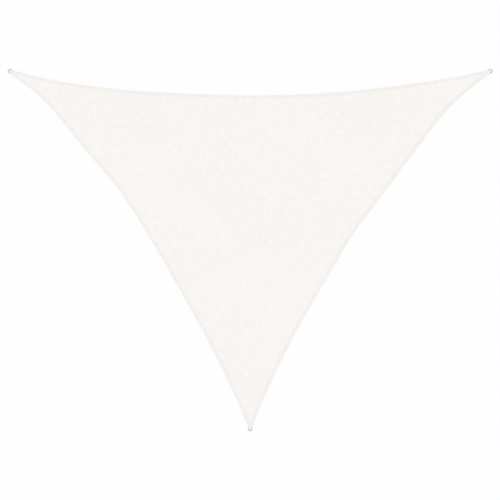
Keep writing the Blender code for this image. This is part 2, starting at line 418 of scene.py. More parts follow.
# Low swells in the cloth: the middle of each, its heading in degrees from the X axis,
# how long and wide it is to each side of its middle, and its height.
Swell = namedtuple("Swell", "x y heading length width height")

SWELLS = (
    Swell(-1.42, 1.16, -24, 0.62, 0.150, 0.0030),
    Swell(-0.78, 0.62, -38, 0.80, 0.190, 0.0026),
    Swell(-0.20, 1.30, 8, 0.95, 0.170, 0.0022),
    Swell(0.62, 0.88, 22, 0.85, 0.180, 0.0028),
    Swell(1.35, 1.22, 27, 0.60, 0.140, 0.0026),
    Swell(0.40, 0.10, 62, 0.70, 0.160, 0.0024),
    Swell(-0.36, -0.28, -66, 0.75, 0.150, 0.0026),
    Swell(0.10, -0.92, 84, 0.55, 0.120, 0.0022),
)
SWELL_STRAY = 0.08              # how far a swell bends off its straight line
SWELL_BEND = 1.7                # the bend is a sine, with this many radians in its length

# Sine waves that never quite repeat together: the height of each as a share, its rate
# against the first one's, and how many times over it takes the phase.
Ripple = namedtuple("Ripple", "share rate shift")

RIPPLES = (Ripple(0.50, 1.0, 1.0), Ripple(0.30, 0.617, 2.3), Ripple(0.20, 1.731, 4.1))


def uneven(places, pitch, phase):
    """A wave of about one pitch that never quite repeats, from -1 to 1."""
    turn = 2 * math.pi * places / pitch
    return sum(
        ripple.share * np.sin(ripple.rate * turn + ripple.shift * phase)
        for ripple in RIPPLES)


def away_from_corners(points):
    """0 at the corners, rising smoothly to 1 further in."""
    share = 1.0
    for corner in CORNERS.values():
        distance = np.linalg.norm(points - corner.bar_centre, axis=-1)
        share = share * smooth_step((distance - QUIET_CORNER) / QUIET_RUN)
    return share


def corner_lift(points):
    """The cloth's corners stand on the lower legs of the tabs."""
    lift = 0.0
    for corner in CORNERS.values():
        past_leg = behind_bar(corner, points) - (TAB_LEG + LIFT_MARGIN)
        lift = lift + CORNER_LIFT * (1 - smooth_step(past_leg / LIFT_RUN))
    return lift


def swells(points):
    """Height of all the low swells together."""
    height = 0.0
    for swell in SWELLS:
        offset = points - np.array((swell.x, swell.y))
        turn = math.radians(swell.heading)
        heading = np.array((math.cos(turn), math.sin(turn)))
        along = offset @ heading
        across = offset @ left_of(heading)
        bend = SWELL_STRAY * np.sin(along / swell.length * SWELL_BEND)
        shape = np.exp(-((across - bend) / swell.width) ** 2 - (along / swell.length) ** 4)
        height = height + swell.height * shape
    return height


def ground_height(points, side_number, places, insets):
    """Height of the cloth's underside: lifted corners, swells, and waves along the hem."""
    cloth = bpy.context.scene.sail_cloth
    phase = 1.0 + 1.9 * np.asarray(side_number, float)      # each side has its own waves
    wave = 0.5 + 0.5 * uneven(places, WAVE_PITCH, phase)
    reach = 1 - smooth_step(insets / WAVE_REACH)
    loose = cloth.swell * swells(points) + cloth.edge_wave * wave * reach
    return corner_lift(points) + away_from_corners(points) * loose


def pucker_height(points, side_number, places, insets):
    """Small gathers across the hem's sewn rows, on its upper face."""
    cloth = bpy.context.scene.sail_cloth
    near_row = sum(np.exp(-((insets - row) / PUCKER_REACH) ** 2) for row in SEWN_INSETS)
    phase = 0.7 + side_number
    gather = uneven(places, PUCKER_PITCH, phase)
    return cloth.pucker * gather * near_row * away_from_corners(points)


# ---------------------------------------------------------------- meshes

SHARP_FOLD = math.radians(50)   # edges that fold more than this are shaded sharp


def new_object(name, mesh, material):
    obj = bpy.data.objects.new(name, mesh)
    bpy.context.scene.collection.objects.link(obj)
    mesh.materials.clear()
    mesh.materials.append(material)
    return obj


def add_values(mesh, name, values, domain="POINT"):
    """Store a number, or a vector of three, for each of the mesh's points or face corners."""
    values = np.asarray(values, np.float32)
    kind, key = ("FLOAT", "value") if values.ndim == 1 else ("FLOAT_VECTOR", "vector")
    attribute = mesh.attributes.new(name, kind, domain)
    attribute.data.foreach_set(key, values.ravel())


def grid_faces(rows, columns):
    """Four-sided faces between neighbouring rows of points."""
    corner = np.arange(rows - 1)[:, None] * columns + np.arange(columns - 1)[None, :]
    faces = np.stack((corner, corner + 1, corner + columns + 1, corner + columns), axis=-1)
    return faces.reshape(-1, 4)


def close_mesh(mesh, weld):
    """Weld the mesh's blocks together, fill what is open, and turn all faces out."""
    bm = bmesh.new()
    bm.from_mesh(mesh)
    bmesh.ops.remove_doubles(bm, verts=bm.verts, dist=weld)
    open_edges = [edge for edge in bm.edges if edge.is_boundary]
    if open_edges:
        filled = bmesh.ops.holes_fill(bm, edges=open_edges, sides=0)
        bmesh.ops.triangulate(bm, faces=filled["faces"])
    bmesh.ops.recalc_face_normals(bm, faces=bm.faces)
    loose = [edge for edge in bm.edges if not edge.is_manifold]
    if loose:
        raise ValueError(f"{mesh.name} isn't closed: {len(loose)} edges are open or shared")
    bm.to_mesh(mesh)
    bm.free()
    mesh.shade_smooth()
    mesh.set_sharp_from_angle(angle=SHARP_FOLD)


# ---------------------------------------------------------------- cloth

STATION_STEP = 8.2 * MM         # between the hem's points, along it
MITRE_RUN = 0.45                # length over which the stations turn into the mitre
PANEL_STEP = 20 * MM            # between the panel's points
PANEL_START = 94 * MM           # inset from which the panel's points are a grid
INSIDE_STEP = 60                # one sample in so many tells what lies inside a side
CLOTH_WELD = 0.02 * MM
INSIDE_RIM = 1                  # the triangulation's mode that keeps what is in the rim
TRIANGLE_FIT = 1e-7             # points nearer than this are one

# Between the hem and the grid lie rings of points that get sparser: how far in each one
# is, and how many of the hem's steps lie between its points.
PanelRing = namedtuple("PanelRing", "inset steps")

PANEL_RINGS = (PanelRing(54 * MM, 1), PanelRing(66 * MM, 2), PanelRing(82 * MM, 2))

# The hem along one side is a grid of points, one row for each point of its section. With
# them come their shades, their places in plan before the hem was turned, and which of
# the rows are on the turned layer.
HemStrip = namedtuple("HemStrip", "points shades unturned turned")


def hem_strip(number):
    """The hem along one side, cut to the mitre at both ends."""
    side = SIDES[number]
    stations = np.linspace(0.0, side.length, math.ceil(side.length / STATION_STEP) + 1)
    at_start = np.clip(1 - stations / MITRE_RUN, 0.0, 1.0) ** 2
    at_end = at_start[::-1]
    points, shades, unturned, turned = [], [], [], []
    for row in HEM_SECTION:
        inset = row.inset * MM
        start, end = side_ends(number, inset)
        places = stations + start * at_start + (end - side.length) * at_end
        plan = side.at(places, inset)
        height = row.height * MM + ground_height(plan, number, places, inset)
        on_top = row.height * MM > CLOTH_THICKNESS
        if on_top:
            height = height + pucker_height(plan, number, places, inset)
        turned.append(on_top and inset < TURNED_BACK)
        points.append(np.column_stack((plan, height)))
        shades.append(np.full(len(plan), row.shade))
        unturned.append(side.at(places, -inset if turned[-1] else inset))
    return HemStrip(*map(np.array, (points, shades, unturned, turned)))


def within_sides(points):
    """Which points lie inside all three sides."""
    inside = np.ones(len(points), bool)
    for side in SIDES:
        offset = points[:, None, :] - side.line[None, ::INSIDE_STEP, :]
        nearest = np.argmin((offset ** 2).sum(-1), axis=1)
        inward = left_of(side.directions[::INSIDE_STEP])[nearest]
        inside &= (inward * offset[np.arange(len(points)), nearest]).sum(-1) > 0
    return inside


def nearest_edge(points):
    """For each point the nearest side's number, the place along that side and the distance."""
    tree = KDTree(sum(len(side.line) for side in SIDES))
    owners = []
    for number, side in enumerate(SIDES):
        for point, place in zip(side.line, side.places):
            tree.insert((*point, 0.0), len(owners))
            owners.append((number, place))
    tree.balance()
    found = [tree.find((*point, 0.0)) for point in points]
    numbers, places = np.array(owners)[[index for _, index, _ in found]].T
    return numbers, places, np.array([distance for _, _, distance in found])


def panel_grid(rim):
    """The even grid in the middle of the panel: its points in plan and their heights."""
    low, high = rim.min(0), rim.max(0)
    x = np.arange(low[0], high[0], PANEL_STEP)
    y = np.arange(low[1], high[1], PANEL_STEP)
    grid = np.stack(np.meshgrid(x, y), axis=-1).reshape(-1, 2)
    grid = grid[within_sides(grid)]
    numbers, places, distances = nearest_edge(grid)
    keep = distances > PANEL_START
    grid = grid[keep]
    return grid, ground_height(grid, numbers[keep], places[keep], distances[keep])


def panel_points(rim):
    """The panel's points in plan and their heights: rings inside the hem, then a grid."""
    points, heights = [], []
    for ring in PANEL_RINGS:
        for number, side in enumerate(SIDES):
            start, end = side_ends(number, ring.inset)
            count = math.ceil((end - start) / (STATION_STEP * ring.steps))
            places = np.linspace(start, end, count + 1)[:-1]
            plan = side.at(places, ring.inset)
            points.append(plan)
            heights.append(ground_height(plan, number, places, ring.inset))
    grid, grid_heights = panel_grid(rim)
    return np.concatenate((*points, grid)), np.concatenate((*heights, grid_heights))


class SheetBlocks:
    """Blocks of points and faces that together become the cloth's mesh.

    shades say how much of the hem's colour each point has, which also paints a highlight on
    the fold and shade just inside the hem, and face_places where each face's corners lay
    before the hem was turned, which the knit's pattern follows.
    """

    def __init__(self):
        self.points, self.shades, self.faces, self.face_places = [], [], [], []
        self.count = 0

    def add(self, points, shades, faces, face_places):
        self.points.append(points)
        self.shades.append(shades)
        self.faces.append(faces + self.count)
        self.face_places.append(face_places.reshape(-1, 2))
        self.count += len(points)

    def mesh(self, name):
        mesh = bpy.data.meshes.new(name)
        faces = [face for block in self.faces for face in block.tolist()]
        mesh.from_pydata(np.concatenate(self.points).tolist(), [], faces)
        # hem: share of the hem's darker tone, with the painted highlight on the fold and the
        # painted shade just inside the hem
        add_values(mesh, "hem", np.concatenate(self.shades))
        places = np.concatenate(self.face_places)
        flat = np.column_stack((places, np.zeros(len(places))))
        add_values(mesh, "unturned", flat, "CORNER")
        return mesh


def add_hem(blocks):
    """Add the hem, and return its rim: X, Y, upper and lower height where the panel starts."""
    rim = []
    for number in range(len(SIDES)):
        strip = hem_strip(number)
        rows, columns = strip.shades.shape
        faces = grid_faces(rows, columns)
        points = strip.points.reshape(-1, 3)
        face_turned = np.repeat(strip.turned[:-1] & strip.turned[1:], columns - 1)
        face_places = np.where(
            face_turned[:, None, None], strip.unturned.reshape(-1, 2)[faces],
            points[faces][..., :2])
        blocks.add(points, strip.shades.ravel(), faces, face_places)
        rim.append(np.column_stack((strip.points[-1, :-1], strip.points[0, :-1, 2])))
    return np.concatenate(rim)


def add_panel(blocks, rim):
    """Add the panel's two faces inside the rim."""
    plan, height = panel_points(rim[:, :2])
    plan = np.concatenate((rim[:, :2], plan))
    coordinates, _, triangles, sources = delaunay_2d_cdt(
        [tuple(point) for point in plan], [], [list(range(len(rim)))],
        INSIDE_RIM, TRIANGLE_FIT)[:4]
    plan = np.array([tuple(point) for point in coordinates])
    source = [given[0] for given in sources]
    upper = np.concatenate((rim[:, 2], height + CLOTH_THICKNESS))[source]
    lower = np.concatenate((rim[:, 3], height))[source]
    triangles = np.array(triangles)
    for heights, faces in ((lower, triangles[:, ::-1]), (upper, triangles)):
        blocks.add(np.column_stack((plan, heights)), np.zeros(len(plan)), faces, plan[faces])


def cloth_mesh():
    """The sail's cloth as one closed sheet: a panel inside a turned, sewn hem."""
    blocks = SheetBlocks()
    add_panel(blocks, add_hem(blocks))
    mesh = blocks.mesh("sail_cloth_dressed")
    close_mesh(mesh, CLOTH_WELD)
    return mesh


# ---------------------------------------------------------------- corner pieces

TAB_STEP = 0.9 * MM             # between the webbing's points, along it
LOOP_POINTS = 28                # round the loop over the bar
CORD_POINTS = 4                 # across each of the webbing's cords
CORD_POWER = 0.8                # under 1 gives the cords full, round backs
CORD_SUNK = 0.6                 # share of their relief below the webbing's plain face
EDGE_ROUND = 0.6 * MM           # roundness of the woven edges
EDGE_THINNING = 0.85            # share of its squared thickness that is gone at the edges
SEALED_END = 1.4 * MM           # length of the heat-sealed ends
SEALED_THINNING = 0.45          # share of the thickness that is gone there
RAGGED = 0.35 * MM              # how unevenly the ends are cut
RAGGED_PITCH = 5.3 * MM
RAGGED_REACH = 3 * MM
BOX_FRONT = -21 * MM            # the sewn box, from the middle of the bar
BOX_BACK = -73 * MM
BOX_MARGIN = 4.5 * MM           # from the webbing's edge to the box
SEWN_DIP = 0.35 * MM            # how far the thread draws the webbing in
DIP_REACH = 0.9 * MM            # to each side of the thread
WEBBING_WELD = 0.002 * MM
BEND_POINTS = 13                # of the wire, round each bend beside the bar
BOW_POINTS = 73                 # and round the bow


def place_at_corner(points, corner, height, tilt=0.0):
    """Turn and move points whose +X points outward to the corner's bar."""
    x = points[:, 0] * math.cos(tilt) + points[:, 2] * math.sin(tilt)
    z = -points[:, 0] * math.sin(tilt) + points[:, 2] * math.cos(tilt) + height
    plan = corner.bar_centre + np.outer(x, corner.outward) + np.outer(points[:, 1], corner.across)
    return np.column_stack((plan, z))


def tab_path():
    """Side view of the webbing's middle, from the lower leg round to the upper one."""
    lower = np.arange(-TAB_LEG, 0.0, TAB_STEP)
    lower = np.column_stack((lower, np.full(len(lower), WEBBING / 2)))
    turns = np.radians(np.linspace(-90, 90, LOOP_POINTS))
    loop = np.column_stack((LOOP_RADIUS * np.cos(turns), BAR_HEIGHT + LOOP_RADIUS * np.sin(turns)))
    back = np.arange(TAB_STEP, TAB_LEG, TAB_STEP)
    drop = BAR_HEIGHT + LOOP_RADIUS - UPPER_LEG_HEIGHT
    height = UPPER_LEG_HEIGHT + drop * (1 - smooth_step(back / TAB_SETTLE))
    upper = np.column_stack((-back, height))
    last = np.array([(-TAB_LEG, UPPER_LEG_HEIGHT)])
    return np.concatenate((lower, loop, upper, last))


def box_stitch_lines():
    """The sewn box and the cross in it, as lines seen from above the tab."""
    half = bpy.context.scene.sail_tabs.width / 2 - BOX_MARGIN
    front_left, front_right = (BOX_FRONT, half), (BOX_FRONT, -half)
    back_left, back_right = (BOX_BACK, half), (BOX_BACK, -half)
    return (
        (front_left, back_left, back_right, front_right, front_left),
        (front_left, back_right),
        (front_right, back_left),
    )


def distance_to_sewing(x, y):
    """Distance of points on the tab from the nearest line of its sewing."""
    points = np.stack((x, y), axis=-1)
    nearest = np.full(x.shape, np.inf)
    for line in box_stitch_lines():
        for start, end in zip(line, line[1:]):
            start, run = np.array(start), np.array(end) - np.array(start)
            share = np.clip((points - start) @ run / (run @ run), 0.0, 1.0)
            gap = np.linalg.norm(points - start - share[..., None] * run, axis=-1)
            nearest = np.minimum(nearest, gap)
    return nearest


# Points round the webbing's section: their places across it, their face, which is 1 on
# the outer one and -1 on the inner one, half the thickness there, and the cords' height.
TabSection = namedtuple("TabSection", "across face half_thickness cord")


def tab_section():
    """Lengthwise cords on the outer face, a plain inner face, and rounded edges."""
    tab = bpy.context.scene.sail_tabs
    half = tab.width / 2
    cords = round(tab.width / tab.cord)
    outer = np.linspace(-half, half, cords * CORD_POINTS + 1)
    inner = np.linspace(half, -half, cords + 1)[1:-1]
    across = np.concatenate((outer, inner))
    face = np.concatenate((np.ones(len(outer)), -np.ones(len(inner))))
    to_edge = np.clip((np.abs(across) - (half - EDGE_ROUND)) / EDGE_ROUND, 0.0, 1.0)
    half_thickness = WEBBING / 2 * np.sqrt(1 - EDGE_THINNING * to_edge ** 2)
    back = np.abs(np.cos(math.pi * across / tab.cord)) ** CORD_POWER - CORD_SUNK
    return TabSection(across, face, half_thickness, np.where(face > 0, tab.relief * back, 0.0))


def tab_points(path, section, phase):
    """The webbing's surface: a row of points round each point of its path."""
    along, direction = measured(path)
    outward = -left_of(direction)
    from_end = np.minimum(along, along[-1] - along)[:, None]
    sealed = 1 - SEALED_THINNING * (1 - smooth_step(from_end / SEALED_END))
    x, y = np.meshgrid(path[:, 0], section.across, indexing="ij")
    dip = SEWN_DIP * np.exp(-(distance_to_sewing(x, y) / DIP_REACH) ** 2)
    dip = np.where(section.face > 0, dip, 0.0)
    stand = (section.half_thickness * sealed + section.cord * sealed - dip) * section.face
    ragged = RAGGED * uneven(section.across, RAGGED_PITCH, phase)
    x = x + outward[:, :1] * stand + (1 - smooth_step(from_end / RAGGED_REACH)) * ragged
    z = np.maximum(path[:, 1:] + outward[:, 1:] * stand, 0.0)
    return np.stack((x, y, z), axis=-1)


def tab_mesh(corner):
    """Webbing folded round the ring's bar, with lengthwise cords and sealed ends."""
    path = tab_path()
    section = tab_section()
    phase = 1.0 + corner.bar_centre[0]      # each tab's ends are cut a little differently
    local = tab_points(path, section, phase)
    local = np.concatenate((local, local[:, :1]), axis=1)   # each row comes back to its start
    rows, columns = local.shape[:2]
    points = place_at_corner(local.reshape(-1, 3), corner, 0.0)
    mesh = bpy.data.meshes.new("webbing_" + corner.name)
    mesh.from_pydata(points.tolist(), [], grid_faces(rows, columns).tolist())
    add_values(mesh, "along", np.repeat(measured(path)[0], columns))
    add_values(mesh, "across", np.tile(np.append(section.across, section.across[0]), rows))
    close_mesh(mesh, WEBBING_WELD)
    return mesh


def ring_path():
    """Middle line of the wire: the bar on Y, then the bow reaching towards +X."""
    half = bpy.context.scene.sail_rings.width / 2
    bend = np.radians(np.linspace(0, 90, BEND_POINTS))
    lower_bend = np.column_stack((
        RING_BEND * (1 - np.sin(bend)), -half + RING_BEND * (1 - np.cos(bend))))
    upper_bend = lower_bend[::-1] * (1, -1)
    bow = np.radians(np.linspace(90, -90, BOW_POINTS))
    bow = np.column_stack((RING_REACH - half + half * np.cos(bow), half * np.sin(bow)))
    plan = np.concatenate((lower_bend, upper_bend, bow))
    return np.column_stack((plan, np.zeros(len(plan))))


# ---------------------------------------------------------------- node trees

def new_tree(name):
    tree = bpy.data.node_groups.new(name, "GeometryNodeTree")
    tree.interface.new_socket("Geometry", in_out="INPUT", socket_type="NodeSocketGeometry")
    tree.interface.new_socket("Geometry", in_out="OUTPUT", socket_type="NodeSocketGeometry")
    return tree


def add_input(tree, name, kind, description):
    socket = tree.interface.new_socket(name, in_out="INPUT", socket_type="NodeSocket" + kind)
    socket.description = description


def add_node(tree, kind, values=None, **settings):
    """Add a node. values feeds its inputs, by name or number, from sockets or plain values."""
    node = tree.nodes.new(kind)
    for key, value in settings.items():
        setattr(node, key, value)
    for key, value in (values or {}).items():
        if isinstance(value, bpy.types.NodeSocket):
            tree.links.new(value, node.inputs[key])
        else:
            node.inputs[key].default_value = value
    return node


def output_of(tree, kind, values=None, output=0, **settings):
    """Add a node, and return one of its outputs."""
    return add_node(tree, kind, values, **settings).outputs[output]


def maths(tree, operation, *values):
    return output_of(tree, "ShaderNodeMath", dict(enumerate(values)), operation=operation)


def round_section(tree, sides, diameter):
    """The circle that a thread or wire has for its section."""
    return output_of(tree, "GeometryNodeCurvePrimitiveCircle", {
        "Resolution": sides, "Radius": maths(tree, "MULTIPLY", diameter, 0.5)})


def end_tree(tree, geometry, material):
    """Make the geometry real and smooth, give it its material, and let it out."""
    real = output_of(tree, "GeometryNodeRealizeInstances", {"Geometry": geometry})
    smooth = output_of(tree, "GeometryNodeSetShadeSmooth", {0: real})
    finished = output_of(tree, "GeometryNodeSetMaterial", {
        "Geometry": smooth, "Material": material})
    add_node(tree, "NodeGroupOutput", {0: finished})


STITCH_HALF = 0.44              # half a stitch, as a share of the pitch
STITCH_POINTS = 4               # along a stitch
THREAD_SIDES = 5
TAPER_POWER = 3.0               # how late a stitch thins towards its ends
TAPER_DEPTH = 0.6               # and by how much


def one_stitch(tree, given):
    """A short piece of round thread along X that thins towards both ends."""
    half = maths(tree, "MULTIPLY", given["Stitch Pitch"], STITCH_HALF)
    start = output_of(tree, "ShaderNodeCombineXYZ", {"X": maths(tree, "MULTIPLY", half, -1.0)})
    end = output_of(tree, "ShaderNodeCombineXYZ", {"X": half})
    line = output_of(tree, "GeometryNodeCurvePrimitiveLine", {"Start": start, "End": end})
    spans = output_of(tree, "GeometryNodeResampleCurve", {
        "Curve": line, "Count": STITCH_POINTS}, mode="COUNT")
    share = output_of(tree, "GeometryNodeSplineParameter", output="Factor")
    from_middle = maths(tree, "ABSOLUTE", maths(tree, "SUBTRACT", share, 0.5))
    to_end = maths(tree, "POWER", maths(tree, "MULTIPLY", from_middle, 2.0), TAPER_POWER)
    taper = maths(tree, "SUBTRACT", 1.0, maths(tree, "MULTIPLY", to_end, TAPER_DEPTH))
    tapered = output_of(tree, "GeometryNodeSetCurveRadius", {"Curve": spans, "Radius": taper})
    section = round_section(tree, THREAD_SIDES, given["Thread Thickness"])
    return output_of(tree, "GeometryNodeCurveToMesh", {
        "Curve": tapered, "Profile Curve": section, "Fill Caps": True})


def stitch_turn(tree, given):
    """How each stitch lies: along its row, slanted, and each a little differently."""
    facing = output_of(tree, "FunctionNodeAlignRotationToVector", {
        "Vector": output_of(tree, "GeometryNodeInputTangent")}, axis="X")
    chance = output_of(tree, "FunctionNodeRandomValue", {
        2: maths(tree, "MULTIPLY", given["Unevenness"], -1.0),      # the least number
        3: given["Unevenness"],                                     # the greatest
        "Seed": given["Seed"]}, output=1, data_type="FLOAT")
    turn = output_of(tree, "ShaderNodeCombineXYZ", {
        "Z": maths(tree, "ADD", given["Slant"], chance)})
    turn = output_of(tree, "FunctionNodeEulerToRotation", {0: turn})
    return output_of(tree, "FunctionNodeRotateRotation", {
        "Rotation": facing, "Rotate By": turn}, rotation_space="LOCAL")


def stitch_tree():
    """Short pieces of thread, one after another along each line of sewing."""
    tree = new_tree("Sewn Rows")
    add_input(tree, "Stitch Pitch", "Float", "From one stitch to the next")
    add_input(tree, "Thread Thickness", "Float", "Diameter of the thread")
    add_input(tree, "Slant", "Float", "Turn of each stitch out of its row")
    add_input(tree, "Unevenness", "Float", "How much the turns differ")
    add_input(tree, "Seed", "Int", "Picks the differences")
    add_input(tree, "Material", "Material", "Finish of the thread")
    given = add_node(tree, "NodeGroupInput").outputs
    places = output_of(tree, "GeometryNodeResampleCurve", {
        "Curve": given["Geometry"], "Length": given["Stitch Pitch"]}, mode="LENGTH")
    sewn = output_of(tree, "GeometryNodeInstanceOnPoints", {
        "Points": places, "Instance": one_stitch(tree, given),
        "Rotation": stitch_turn(tree, given)})
    end_tree(tree, sewn, given["Material"])
    return tree


def wire_tree():
    """Round wire along a closed line."""
    tree = new_tree("Bent Wire")
    add_input(tree, "Wire Diameter", "Float", "Thickness of the wire")
    add_input(tree, "Sides", "Int", "Faces round the wire")
    add_input(tree, "Material", "Material", "Finish of the wire")
    given = add_node(tree, "NodeGroupInput").outputs
    section = round_section(tree, given["Sides"], given["Wire Diameter"])
    wire = output_of(tree, "GeometryNodeCurveToMesh", {
        "Curve": given["Geometry"], "Profile Curve": section})
    end_tree(tree, wire, given["Material"])
    return tree


def grown(name, lines, closed, tree, inputs):
    """Run a node tree on a set of lines, and keep the result as a plain mesh object."""
    curve = bpy.data.curves.new(name, "CURVE")
    curve.dimensions = "3D"
    for line in lines:
        spline = curve.splines.new("POLY")
        spline.points.add(len(line) - 1)
        spline.points.foreach_set("co", np.column_stack((line, np.ones(len(line)))).ravel())
        spline.use_cyclic_u = closed
    source = bpy.data.objects.new(name + "_lines", curve)
    bpy.context.scene.collection.objects.link(source)
    modifier = source.modifiers.new("grow", "NODES")
    modifier.node_group = tree
    for item in tree.interface.items_tree:
        if item.item_type == "SOCKET" and item.in_out == "INPUT" and item.name in inputs:
            modifier[item.identifier] = inputs[item.name]
    source.update_tag()
    bpy.context.view_layer.update()
    graph = bpy.context.evaluated_depsgraph_get()
    mesh = bpy.data.meshes.new_from_object(source.evaluated_get(graph))
    bpy.data.objects.remove(source)
    bpy.data.curves.remove(curve)
    mesh.name = name
    if not mesh.polygons:
        raise ValueError(f"{name} came out empty")
    return new_object(name, mesh, inputs["Material"])


# ---------------------------------------------------------------- finishes

class Finish:
    """A procedural material, whose methods add its nodes."""

    def __init__(self, name):
        self.material = bpy.data.materials.new(name)
        self.material.use_nodes = True
        self.tree = self.material.node_tree
        self.shader = self.tree.nodes["Principled BSDF"]

    def place(self):
        return output_of(self.tree, "ShaderNodeTexCoord", output="Object")

    def attribute(self, name, output="Fac"):
        return output_of(self.tree, "ShaderNodeAttribute", output=output, attribute_name=name)

    def noise(self, vector, size, detail=2.0, roughness=0.5):
        """Cloudy pattern from 0 to 1, whose patches are about one size across."""
        return output_of(self.tree, "ShaderNodeTexNoise", {
            "Vector": vector, "Scale": 1.0 / size, "Detail": detail, "Roughness": roughness})

    def stretched(self, vector, scale):
        return output_of(self.tree, "ShaderNodeMapping", {"Vector": vector, "Scale": scale})

    def maths(self, operation, *values):
        return maths(self.tree, operation, *values)

    def wave(self, value, pitch):
        """A smooth wave from 0 to 1 along a coordinate."""
        turn = self.maths("MULTIPLY", value, 2 * math.pi / pitch)
        return self.maths("MULTIPLY_ADD", self.maths("COSINE", turn), 0.5, 0.5)

    def spread(self, value, low, high):
        """Low where the value is 0, and high where it is 1."""
        return output_of(self.tree, "ShaderNodeMapRange", {
            "Value": value, "From Min": 0.0, "From Max": 1.0, "To Min": low, "To Max": high})

    def shaded(self, colour, *factors):
        """The colour times each of the factors."""
        total = factors[0]
        for factor in factors[1:]:
            total = self.maths("MULTIPLY", total, factor)
        if not isinstance(colour, bpy.types.NodeSocket):
            colour = tuple(colour)
        return output_of(self.tree, "ShaderNodeVectorMath", {
            0: colour, "Scale": total}, operation="SCALE")

    def mixed(self, first, second, share):
        """From the first colour to the second as the share goes from 0 to 1."""
        # sockets by number: the node has one of each name for every kind of value
        return output_of(self.tree, "ShaderNodeMix", {
            0: share, 6: (*first, 1.0), 7: (*second, 1.0)}, output=2, data_type="RGBA")

    def set(self, **values):
        """Feed the shader's inputs, with _ for the spaces in their names."""
        for name, value in values.items():
            socket = self.shader.inputs[name.replace("_", " ")]
            if isinstance(value, bpy.types.NodeSocket):
                self.tree.links.new(value, socket)
            else:
                socket.default_value = value

    def bump(self, height, depth):
        self.set(Normal=output_of(self.tree, "ShaderNodeBump", {
            "Height": height, "Distance": depth, "Strength": 1.0}))


DRIFT_PATCH = 0.20              # length over which the columns of loops wander sideways
DRIFT_WALES = 3                 # from one side to the other, in columns
CHAIN_POWER = 1.6               # how narrow the chains of loops are
LOOP_LOW = 0.7                  # height of a chain between two loops
TAPE_SLOPE = 0.8                # how far over the tapes go for each course
TAPE_HEIGHT = 0.55              # against a chain's full height
CLOUD = 1.1                     # size of the broad lighter and darker patches
STREAK = 22 * MM                # width of the streaks that uneven tapes make
STREAK_STRETCH = 0.35           # their width as a share of their length


def knit_height(finish, place, cloth):
    """Height of the knit, from 0 to 1: chains of loops with tape zigzag between them."""
    split = add_node(finish.tree, "ShaderNodeSeparateXYZ", {0: place}).outputs
    drift = finish.maths("SUBTRACT", finish.noise(place, DRIFT_PATCH), 0.5)
    drift = finish.maths("MULTIPLY", drift, DRIFT_WALES * cloth.wale)
    x = finish.maths("ADD", split["X"], drift)
    y = split["Y"]
    chain = finish.maths("POWER", finish.wave(x, cloth.wale), CHAIN_POWER)
    loops = finish.spread(finish.wave(y, cloth.course), LOOP_LOW, 1.0)
    zigzag = finish.maths("MULTIPLY", finish.maths("PINGPONG", y, cloth.course), TAPE_SLOPE)
    tape = finish.wave(finish.maths("ADD", x, zigzag), cloth.wale / 2)
    return finish.maths(
        "MAXIMUM", finish.maths("MULTIPLY", chain, loops),
        finish.maths("MULTIPLY", tape, TAPE_HEIGHT))


def knitted_cloth():
    """Knitted shade cloth: chains of loops with painted shade in their hollows, uneven tapes, and
    a hem of its own darker tone with a painted highlight on its fold and painted shade just inside
    it.

    The knit follows the cloth round its fold, so it runs the other way on the hem.
    """
    cloth = bpy.context.scene.sail_cloth
    finish = Finish("knitted_cloth")
    place = finish.attribute("unturned", "Vector")
    knit = knit_height(finish, place, cloth)
    # the hem's share also carries a painted highlight on the fold and a painted shade fading
    # inward past the hem
    colour = finish.mixed(cloth.colour, cloth.hem_colour, finish.attribute("hem"))
    # painted shade: the colour is darker in the knit's hollows and a little lighter on the tops of
    # its loops
    knit_painted_shade = finish.spread(knit, 0.945, 1.015)
    clouds = finish.noise(place, CLOUD, detail=6.0, roughness=0.78)
    cloud_shade = finish.spread(clouds, 0.97, 1.03)
    streak_shades = []
    for stretch in ((1.0, STREAK_STRETCH, 1.0), (STREAK_STRETCH, 1.0, 1.0)):
        streaks = finish.noise(finish.stretched(place, stretch), STREAK, detail=1.0)
        streak_shades.append(finish.spread(streaks, 1.0 - cloth.grain, 1.0 + cloth.grain))
    finish.set(
        Base_Color=finish.shaded(colour, knit_painted_shade, cloud_shade, *streak_shades),
        Roughness=finish.spread(knit, 0.86, 0.70),
        Specular_IOR_Level=0.25,
        Sheen_Weight=0.08,
        Sheen_Roughness=0.5,
    )
    finish.bump(knit, cloth.relief)
    return finish.material


FIBRE = 0.5 * MM                # width of the thread's fibres
FIBRE_RELIEF = 0.06 * MM
THREAD_PATCH = 50 * MM          # length of lighter and darker thread


def sewing_thread():
    """Bonded thread, twisted, a little brighter than the cloth."""
    sewing = bpy.context.scene.sail_sewing
    finish = Finish("sewing_thread")
    place = finish.place()
    fibre = finish.noise(finish.stretched(place, (1.0, 1.0, 2.0)), FIBRE, detail=1.0)
    # painted shade: the thread's colour is darker where its fibres lie low
    fibre_painted_shade = finish.spread(fibre, 0.93, 1.02)
    patch_shade = finish.spread(finish.noise(place, THREAD_PATCH), 0.985, 1.015)
    finish.set(
        Base_Color=finish.shaded(sewing.colour, fibre_painted_shade, patch_shade),
        Roughness=finish.spread(fibre, 0.62, 0.46),
        Specular_IOR_Level=0.4,
    )
    finish.bump(fibre, FIBRE_RELIEF)
    return finish.material


PICK = 1.5 * MM                 # from one crosswise yarn of the webbing to the next
WEAVE_RELIEF = 0.22 * MM
DUST_PATCH = 14 * MM


